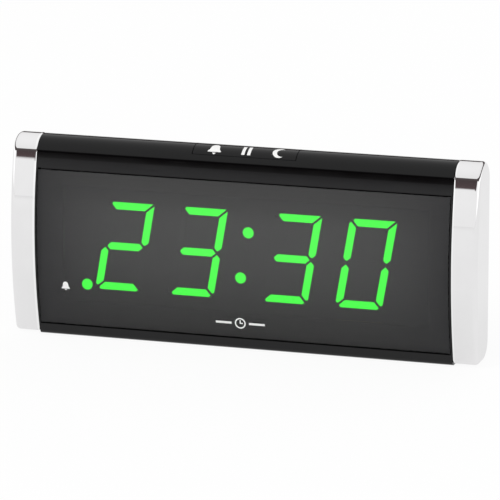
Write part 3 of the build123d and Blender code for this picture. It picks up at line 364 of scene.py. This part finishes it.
def smokedWindow(look):
    material, graph = newMaterial("smokedWindow")
    point = graph.point()
    axes = graph.axis(point, "X")
    across = axes / look["halfWidth"]
    upward = (axes.other("Z") - look["low"]) / (look["high"] - look["low"])
    middle = graph.node("ShaderNodeValToRGB", {"stops": look["middle"]}, {0: upward})
    # painted shade: the window is painted darker towards both ends, darkest at the lower ends
    ends = graph.blend(graph.clamp(upward), look["foot"], look["ends"])
    endward = across * across * across * across     # stays low until near the ends
    tint = graph.blend(endward, middle, ends)
    # painted shade: faces that point up, down or sideways are painted near black and opaque, standing for
    # the shade in the gaps
    facing = graph.axis(graph.normal(), "X")
    edge = (abs(facing) > look["shadedEdgeSlope"]) + (abs(facing.other("Z")) > look["shadedEdgeSlope"])
    smudge = graph.grain(point, look["smudgeSize"], 3.0)
    graph.skin({
        "Base Color": graph.blend(graph.clamp(edge), tint, look["edge"]),
        "Roughness": graph.between(smudge, *look["roughness"]),
        "Normal": graph.bump(graph.grain(point, look["waveSize"], 1.0), look["waveDepth"]),
        "Alpha": graph.between(graph.clamp(edge), look["alpha"], 1.0),
        "IOR": look["ior"],
    })
    return material


chromeLook = {
    "colour": (0.93, 0.925, 0.93, 1), "shade": (0.87, 0.865, 0.87, 1),
    "highlightRim": (1.0, 1.0, 1.0, 1), "highlightRimReach": 90.0,      # painted highlight: the rim beside the black body is painted brighter
    "roughness": (0.012, 0.030),
    "smudgeSize": 13.0,
    "waveSize": 9.0, "waveDepth": 0.0011,
    "pitSpacing": 7.0, "pitWidth": 0.10, "pitRoughness": 0.2,
}


def brightChrome(look):
    material, graph = newMaterial("brightChrome")
    point = graph.point()
    smudge = graph.grain(point, look["smudgeSize"], 4.0)
    pits = graph.specks(point, look["pitSpacing"], look["pitWidth"])
    # painted highlight: the chrome nearer the middle than this reach is painted white
    highlightRim = abs(graph.axis(point, "X")) < look["highlightRimReach"]
    graph.skin({
        "Base Color": graph.blend(highlightRim, graph.blend(smudge, look["colour"], look["shade"]), look["highlightRim"]),
        "Metallic": 1.0,
        "Roughness": graph.between(smudge, *look["roughness"]) + pits * look["pitRoughness"],
        "Normal": graph.bump(graph.grain(point, look["waveSize"], 1.0), look["waveDepth"]),
    })
    return material


plainLooks = {      # colours, roughness, bump size and depth, and tint size of the plain moulded finishes
    "softRubber": ((0.012, 0.012, 0.012), (0.030, 0.030, 0.029), (0.62, 0.85), 0.22, 0.030, 3.0),
    "buttonGrey": ((0.135, 0.140, 0.145), (0.170, 0.175, 0.180), (0.36, 0.50), 0.28, 0.010, 5.0),
    "switchBlack": ((0.020, 0.020, 0.020), (0.038, 0.038, 0.038), (0.45, 0.60), 0.20, 0.008, 4.0),
    "whiteNylon": ((0.72, 0.70, 0.64), (0.80, 0.78, 0.72), (0.40, 0.55), 0.30, 0.006, 4.0),
    "reflectorBlack": ((0.008, 0.008, 0.009), (0.014, 0.014, 0.015), (0.55, 0.70), 0.25, 0.010, 9.0),
    "unlitGuide": ((0.016, 0.019, 0.017), (0.022, 0.025, 0.023), (0.30, 0.40), 0.30, 0.004, 2.0),
    "clearResin": ((0.70, 0.73, 0.64), (0.80, 0.82, 0.74), (0.12, 0.22), 0.40, 0.003, 1.0),
    "printWhite": ((0.86, 0.86, 0.85), (0.95, 0.95, 0.94), (0.42, 0.60), 0.12, 0.006, 0.8),
}


def plainFinish(name):
    dark, light, roughness, size, depth, tint = plainLooks[name]
    material, graph = newMaterial(name)
    point = graph.point()
    pits = graph.grain(point, size, 3.0)
    graph.skin({
        "Base Color": graph.blend(graph.grain(point, tint, 3.0), (*dark, 1), (*light, 1)),
        "Roughness": graph.between(pits, *roughness),
        "Normal": graph.bump(pits, depth),
    })
    return material


litLook = {
    "core": (0.035, 1.0, 0.038, 1), "glow": 4.5,
    "shade": (0.028, 0.96, 0.030, 1),
    "guide": (0.03, 0.16, 0.03, 1), "guideShade": (0.04, 0.20, 0.04, 1),
    "grainSize": 0.5,
    "roughness": (0.3, 0.4),
}


def litGreen(look):
    material, graph = newMaterial("litGreen")
    point = graph.point()
    haze = graph.grain(point, look["grainSize"], 2.0)
    graph.skin({
        "Base Color": graph.blend(haze, look["guide"], look["guideShade"]),
        "Roughness": graph.between(haze, *look["roughness"]),
        "Emission Color": graph.blend(haze, look["core"], look["shade"]),
        "Emission Strength": look["glow"],
    })
    return material


metalLooks = {      # colours, roughness, stretch and size of the brushing, and its depth
    "nickelSteel": ((0.50, 0.49, 0.46), (0.66, 0.65, 0.61), (0.20, 0.34), (1.0, 0.08, 1.0), 0.20, 0.002),
    "screwSteel": ((0.34, 0.34, 0.35), (0.50, 0.50, 0.51), (0.26, 0.42), (1.0, 0.3, 1.0), 0.25, 0.004),
}


def plainMetal(name):
    dark, light, roughness, stretch, size, depth = metalLooks[name]
    material, graph = newMaterial(name)
    point = graph.point()
    brushed = graph.grain(point, size, 2.0, stretch)
    graph.skin({
        "Base Color": graph.blend(brushed, (*dark, 1), (*light, 1)),
        "Metallic": 1.0,
        "Roughness": graph.between(brushed, *roughness),
        "Normal": graph.bump(brushed, depth),
    })
    return material


coreLook = {
    "steel": (0.20, 0.20, 0.21, 1), "varnish": (0.07, 0.045, 0.03, 1),
    "plate": 0.5, "gap": 0.12,
    "runSize": 2.0,     # the lumps in which the varnish ran
    "jointShare": 0.6, "runShare": 0.3,
    "metallic": 0.85, "jointLoss": 0.5,
    "roughness": (0.35, 0.6),
    "depth": 0.05,
}


def laminatedCore(look):
    material, graph = newMaterial("laminatedCore")
    point = graph.point()
    depth = graph.axis(point, "Y")
    joint = graph.lines(depth, look["plate"], look["gap"])
    run = graph.grain(point, look["runSize"], 3.0)
    varnish = joint * look["jointShare"] + run * look["runShare"]
    graph.skin({
        "Base Color": graph.blend(varnish, look["steel"], look["varnish"]),
        "Metallic": look["metallic"] - joint * look["jointLoss"],
        "Roughness": graph.between(run, *look["roughness"]),
        "Normal": graph.bump(1 - joint, look["depth"]),
    })
    return material


windingLook = {
    "tape": (0.74, 0.50, 0.10, 1), "lap": (0.55, 0.34, 0.05, 1),
    "copper": (0.62, 0.27, 0.12, 1),
    "turn": 4.2, "edge": 0.25,
    "wrinkleSize": 1.6, "wrinkleStretch": (0.4, 0.4, 1.0),
    "roughness": (0.22, 0.38),
    "depth": 0.03,
}


def tapedWinding(look):
    material, graph = newMaterial("tapedWinding")
    point = graph.point()
    height = graph.axis(point, "Z")
    lap = graph.lines(height, look["turn"], look["edge"])
    wrinkle = graph.grain(point, look["wrinkleSize"], 3.0, look["wrinkleStretch"])
    colour = graph.blend(wrinkle, look["tape"], look["lap"])
    graph.skin({
        "Base Color": graph.blend(lap, colour, look["copper"]),
        "Roughness": graph.between(wrinkle, *look["roughness"]),
        "Normal": graph.bump(wrinkle - lap, look["depth"]),
    })
    return material


boardLook = {
    "mask": (0.030, 0.150, 0.050, 1), "track": (0.060, 0.240, 0.080, 1),
    "pitch": 1.27, "width": 0.5, "run": 7.0,
    "flatAbove": 0.53, "uprightBelow": 0.44,        # where the noise puts flat and upright tracks
    "hazeSize": 3.0, "roughness": (0.22, 0.34),
    "depth": 0.03,
}


def circuitBoard(look):
    material, graph = newMaterial("circuitBoard")
    point = graph.point()
    axes = graph.axis(point, "X")
    flat = graph.lines(axes.other("Z"), look["pitch"], look["width"])
    upright = graph.lines(axes, look["pitch"], look["width"])
    choice = graph.grain(point, look["run"], 1.0)
    tracks = flat * (choice > look["flatAbove"]) + upright * (choice < look["uprightBelow"])
    graph.skin({
        "Base Color": graph.blend(tracks, look["mask"], look["track"]),
        "Roughness": graph.between(graph.grain(point, look["hazeSize"]), *look["roughness"]),
        "Normal": graph.bump(tracks, look["depth"]),
    })
    return material


chipLook = {
    "body": (0.014, 0.014, 0.015, 1), "pin": (0.62, 0.61, 0.58, 1),
    "halfWidth": 3.8,       # the moulded body; what stands out beyond it is pins
    "roughness": 0.55, "pinPolish": 0.3,
    "pitSize": 0.15, "pitDepth": 0.006, "pitRoughness": 0.1,
}


def clockChip(look):
    material, graph = newMaterial("clockChip")
    low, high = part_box("clock_chip")
    point = graph.point()
    height = graph.axis(point, "Z")
    pin = abs(height - (low.z + high.z) / 2 / mm) > look["halfWidth"]
    pits = graph.grain(point, look["pitSize"], 3.0)
    graph.skin({
        "Base Color": graph.blend(pin, look["body"], look["pin"]),
        "Metallic": pin,
        "Roughness": look["roughness"] - pin * look["pinPolish"] + pits * look["pitRoughness"],
        "Normal": graph.bump(pits, look["pitDepth"]),
    })
    return material


canLook = {
    "sleeve": (0.030, 0.036, 0.085, 1), "stripe": (0.50, 0.51, 0.53, 1), "top": (0.70, 0.70, 0.71, 1),
    "topDepth": 0.5, "stripeHeight": 2.2,
    "hazeSize": 1.2, "roughness": (0.22, 0.36), "depth": 0.008,
}


def capacitorCans(look):
    material, graph = newMaterial("capacitorCans")
    low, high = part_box("capacitors")
    point = graph.point()
    axes = graph.axis(point, "Y")
    top = axes < low.y / mm + look["topDepth"]
    stripe = axes.other("Z") > (low.z + high.z) / 2 / mm + look["stripeHeight"]
    haze = graph.grain(point, look["hazeSize"], 3.0)
    sleeve = graph.blend(stripe, look["sleeve"], look["stripe"])
    graph.skin({
        "Base Color": graph.blend(top, sleeve, look["top"]),
        "Metallic": top,
        "Roughness": graph.between(haze, *look["roughness"]),
        "Normal": graph.bump(haze, look["depth"]),
    })
    return material


diodeLook = {
    "body": (0.016, 0.016, 0.017, 1), "band": (0.62, 0.62, 0.63, 1), "lead": (0.66, 0.65, 0.62, 1),
    "leadLength": 2.4, "bandStart": 0.5, "bandWidth": 1.0,
    "hazeSize": 0.4, "roughness": (0.3, 0.45), "depth": 0.004,
}


def rectifierDiodes(look):
    material, graph = newMaterial("rectifierDiodes")
    low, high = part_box("rectifier_diodes")
    point = graph.point()
    depth = graph.axis(point, "Y")
    lead = depth > high.y / mm - look["leadLength"]
    start = low.y / mm + look["bandStart"]
    band = (depth < start + look["bandWidth"]) * (depth > start)
    haze = graph.grain(point, look["hazeSize"], 3.0)
    body = graph.blend(band, look["body"], look["band"])
    graph.skin({
        "Base Color": graph.blend(lead, body, look["lead"]),
        "Metallic": lead,
        "Roughness": graph.between(haze, *look["roughness"]),
        "Normal": graph.bump(haze, look["depth"]),
    })
    return material


cellLook = {
    "sleeve": (0.10, 0.13, 0.19, 1), "band": (0.52, 0.54, 0.56, 1), "end": (0.70, 0.69, 0.66, 1),
    "bandStart": 8.0, "bandWidth": 6.0, "endDepth": 1.7,
    "hazeSize": 2.5, "roughness": (0.24, 0.38), "depth": 0.006,
}


def backupCell(name, look):
    material, graph = newMaterial(name + "Sleeve")
    low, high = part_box(name)
    point = graph.point()
    along = graph.axis(point, "X") - low.x / mm
    length = (high.x - low.x) / mm
    band = (along > look["bandStart"]) * (along < look["bandStart"] + look["bandWidth"])
    end = (along < look["endDepth"]) + (along > length - look["endDepth"])
    haze = graph.grain(point, look["hazeSize"], 3.0)
    sleeve = graph.blend(band, look["sleeve"], look["band"])
    graph.skin({
        "Base Color": graph.blend(end, sleeve, look["end"]),
        "Metallic": end,
        "Roughness": graph.between(haze, *look["roughness"]),
        "Normal": graph.bump(haze, look["depth"]),
    })
    return material


ribbonLook = {
    "core": (0.34, 0.34, 0.35, 1), "web": (0.24, 0.24, 0.25, 1),
    "pitch": 1.27, "webWidth": 0.4,
    "hazeSize": 1.5, "roughness": (0.4, 0.55), "depth": 0.12,
}


def flatRibbon(look):
    material, graph = newMaterial("flatRibbon")
    point = graph.point()
    across = graph.axis(point, "X")
    web = graph.lines(across, look["pitch"], look["webWidth"])
    haze = graph.grain(point, look["hazeSize"], 3.0)
    graph.skin({
        "Base Color": graph.blend(web, look["core"], look["web"]),
        "Roughness": graph.between(haze, *look["roughness"]),
        "Normal": graph.bump(1 - web, look["depth"]),
    })
    return material


wireLook = {
    "red": (0.36, 0.030, 0.024, 1), "black": (0.020, 0.020, 0.020, 1),
    "width": 2.7,
    "hazeSize": 1.1, "roughness": (0.32, 0.48), "depth": 0.01,
}


def wireSleeves(look):
    material, graph = newMaterial("wireSleeves")
    low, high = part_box("hookup_wires")
    point = graph.point()
    across = graph.axis(point, "X")
    haze = graph.grain(point, look["hazeSize"], 3.0)
    second = (across > high.x / mm - look["width"]) + (across < low.x / mm + look["width"])
    graph.skin({
        "Base Color": graph.blend(second, look["red"], look["black"]),
        "Roughness": graph.between(haze, *look["roughness"]),
        "Normal": graph.bump(haze, look["depth"]),
    })
    return material


def dress(material, *names):
    for name in names:
        slots = nodes[name].data.materials
        slots.clear()
        slots.append(material)


setNames = ("time", "alarm", "hour", "minute")
dress(glossBlack(glossBlackLook), "front_shell", "pause_bar")
dress(satinBlack(satinBlackLook), "rear_shell", "battery_door", "battery_tray")
dress(smokedWindow(windowLook), "display_window")
dress(brightChrome(chromeLook), "left_end_cap", "right_end_cap")
dress(plainFinish("softRubber"), "cord_gland", *[f"foot_{end}_{side}" for end in ("front", "rear")
                                                 for side in ("left", "right")])
dress(plainFinish("buttonGrey"), "alarm_slider", *[f"{name}_button" for name in setNames])
dress(plainFinish("switchBlack"), "pause_switch", "pause_plunger", "alarm_lever", "alarm_buzzer",
      *[f"{name}_switch" for name in setNames], *[f"{name}_plunger" for name in setNames])
dress(plainFinish("whiteNylon"), "ribbon_connectors")
dress(plainFinish("reflectorBlack"), "display_reflector")
dress(plainFinish("unlitGuide"), "unlit_segments")
dress(plainFinish("clearResin"), "segment_leds")
dress(litGreen(litLook), "hour_tens_segments", "hour_ones_segments", "minute_tens_segments",
      "minute_ones_segments", "colon_dots", "alarm_dot")
dress(plainMetal("nickelSteel"), "alarm_slide_switch", "battery_contacts", "timing_crystal",
      "transformer_bracket")
dress(plainMetal("screwSteel"), "shell_screws", "board_screws", "transformer_screws")
dress(laminatedCore(coreLook), "transformer_core")
dress(tapedWinding(windingLook), "transformer_winding")
dress(circuitBoard(boardLook), "main_board", "display_board", "pause_board")
dress(clockChip(chipLook), "clock_chip")
dress(capacitorCans(canLook), "capacitors")
dress(rectifierDiodes(diodeLook), "rectifier_diodes")
for cell in ("upper_cell", "lower_cell"):
    dress(backupCell(cell, cellLook), cell)
dress(flatRibbon(ribbonLook), "link_ribbon")
dress(wireSleeves(wireLook), "hookup_wires")
printWhite = plainFinish("printWhite")
print("materials on all nodes")


# Printed marks. Each shape is an outline and its holes, drawn round (0, 0) in units of the
# mark's height, then placed and scaled.

def arc(x, y, radius, start, end, steps=24):
    angles = [math.radians(start + (end - start) * i / steps) for i in range(steps + 1)]
    return [(x + radius * math.cos(a), y + radius * math.sin(a)) for a in angles]


def rectangle(x, y, width, height):
    return [(x - width / 2, y - height / 2), (x + width / 2, y - height / 2),
            (x + width / 2, y + height / 2), (x - width / 2, y + height / 2)]


def ring(radius, width):
    return arc(0, 0, radius, 0, 345, 23), [arc(0, 0, radius - width, 0, 345, 23)]


def bellShapes():
    dome = arc(0, 0.14, 0.29, 0, 180, 16)
    body = [(-0.45, -0.33), (0.45, -0.33), (0.45, -0.26), (0.34, -0.12), *dome,
            (-0.34, -0.12), (-0.45, -0.26)]
    clapper = arc(0, -0.39, 0.11, 180, 360, 10)
    return [(body, []), (clapper, [])]


def clockShapes():
    hands = [(-0.05, -0.05), (0.24, -0.05), (0.24, 0.05), (0.05, 0.05), (0.05, 0.29), (-0.05, 0.29)]
    return [ring(0.5, 0.12), (hands, [])]


def moonShapes():
    return [(arc(0.05, 0, 0.5, 51, 309, 30) + arc(0.27, 0, 0.40, 283.7, 76.3, 22)[1:-1], [])]


def pauseShapes():
    return [(rectangle(side * 0.22, 0, 0.24, 0.92), []) for side in (-1, 1)]


def chevronShapes(count):
    shapes = []
    for i in range(count):
        x = (i - (count - 1) / 2) * 0.42 - 0.14
        shapes.append(([(x, -0.38), (x + 0.13, -0.38), (x + 0.41, 0), (x + 0.13, 0.38),
                        (x, 0.38), (x + 0.28, 0)], []))
    return shapes


def arrowShapes():
    return [([(-0.09, 0.5), (-0.09, -0.05), (-0.30, -0.05), (0, -0.5), (0.30, -0.05),
              (0.09, -0.05), (0.09, 0.5)], [])]


def cellShapes():
    return [(rectangle(0, 0, 1.7, 0.9), [rectangle(0, 0, 1.5, 0.7)]), (rectangle(0.96, 0, 0.12, 0.34), []),
            (rectangle(0.42, 0, 0.36, 0.09), [])]


def badgeShapes():
    bars = [(rectangle(side * 1.52, 0, 1.45, 0.2), []) for side in (-1, 1)]
    return clockShapes() + bars


markLook = {
    "reach": 12.0,      # how far outside the surface the rays start
    "sink": 0.010, "lift": 0.020,
    "step": 0.7,        # longest edge, so that a mark follows a curved face
    "rounds": 5,        # most times that the edges are halved for it
    "frontY": -22.0, "backY": 21.0,
}
hostTrees = {}


def hostTree(host):
    if host not in hostTrees:
        mesh = nodes[host].data
        hostTrees[host] = BVHTree.FromPolygons(
            [vertex.co for vertex in mesh.vertices], [tuple(face.vertices) for face in mesh.polygons])
    return hostTrees[host]


def printMark(name, host, body, shapes, size, centre, right, up, step=None):
    right, up = Vector(right).normalized(), Vector(up).normalized()
    outward = right.cross(up)
    form = bmesh.new()
    for outline, holes in shapes:
        edges = []
        for loop in (outline, *holes):
            corners = [form.verts.new((u * size, v * size, 0)) for u, v in loop]
            edges += [form.edges.new((corners[i - 1], corners[i])) for i in range(len(corners))]
        bmesh.ops.triangle_fill(form, use_beauty=True, edges=edges)
    for _ in range(markLook["rounds"]):
        long = [edge for edge in form.edges if edge.calc_length() > (step or markLook["step"])]
        if not long:
            break
        bmesh.ops.subdivide_edges(form, edges=long, cuts=1)
        bmesh.ops.triangulate(form, faces=form.faces[:])
    tree = hostTree(host)
    places = {}
    for corner in form.verts:
        start = (Vector(centre) + right * corner.co.x + up * corner.co.y + outward * markLook["reach"]) * mm
        hit, normal, _, _ = tree.ray_cast(start, -outward)
        if normal.dot(outward) < 0:
            normal = -normal
        places[corner] = (hit, normal)
    for corner, (hit, normal) in places.items():
        corner.co = hit - normal * markLook["sink"] * mm
    raised = bmesh.ops.extrude_face_region(form, geom=form.faces[:], use_keep_orig=True)
    tops = [item for item in raised["geom"] if isinstance(item, bmesh.types.BMVert)]
    for corner in tops:
        normal = tree.find_nearest(corner.co)[1]
        normal = -normal if normal.dot(outward) < 0 else normal
        corner.co += normal * (markLook["sink"] + markLook["lift"]) * mm
    bmesh.ops.recalc_face_normals(form, faces=form.faces[:])
    mesh = bpy.data.meshes.new(name)
    form.to_mesh(mesh)
    form.free()
    mark = bpy.data.objects.new(name, mesh)
    scene.collection.objects.link(mark)
    mesh.materials.append(printWhite)
    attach(mark, body)


facingFront = ((1, 0, 0), (0, 0, 1))        # the right and up of a mark
facingBack = ((-1, 0, 0), (0, 0, 1))
frontMarks = {
    "alarmBellMark": (bellShapes(), 4.0, (-76.1, 22.8)),
    "clockBadgeMark": (badgeShapes(), 4.7, (-0.65, 12.05)),
}
for name, (shapes, size, (x, z)) in frontMarks.items():
    printMark(name, "display_window", "base", shapes, size, (x, markLook["frontY"], z), *facingFront)

pauseMarks = {
    "pauseBellMark": (bellShapes(), 6.2, -13.0),
    "pauseBarsMark": (pauseShapes(), 5.6, 0.6),
    "pauseMoonMark": (moonShapes(), 5.8, 14.2),
}
pauseLook = {"tilt": 65, "y": -14.4, "z": 83.5, "step": 0.35}       # tilt: how steeply they face up
pauseTilt = math.radians(pauseLook["tilt"])
pauseUp = (0, math.sin(pauseTilt), math.cos(pauseTilt))
for name, (shapes, size, x) in pauseMarks.items():
    printMark(name, "pause_bar", "pause_bar_body", shapes, size, (x, pauseLook["y"], pauseLook["z"]),
              (1, 0, 0), pauseUp, pauseLook["step"])

backMarks = {
    "timeMark": (clockShapes(), 3.6, (58.0, 57.9)),
    "alarmMark": (bellShapes(), 3.6, (44.0, 57.9)),
    "hourMark": (chevronShapes(1), 3.4, (30.0, 57.9)),
    "minuteMark": (chevronShapes(2), 3.4, (16.0, 57.9)),
    "slideMark": (bellShapes(), 3.4, (-3.0, 57.2)),
}
for name, (shapes, size, (x, z)) in backMarks.items():
    printMark(name, "rear_shell", "base", shapes, size, (x, markLook["backY"], z), *facingBack)

doorMarks = {
    "doorArrowMark": (arrowShapes(), 4.2, (-41.0, 18.2)),
    "doorCellMark": (cellShapes(), 4.2, (-31.0, 18.2)),
}
for name, (shapes, size, (x, z)) in doorMarks.items():
    printMark(name, "battery_door", "battery_door_body", shapes, size, (x, markLook["backY"], z),
              *facingBack)
print("marks printed")
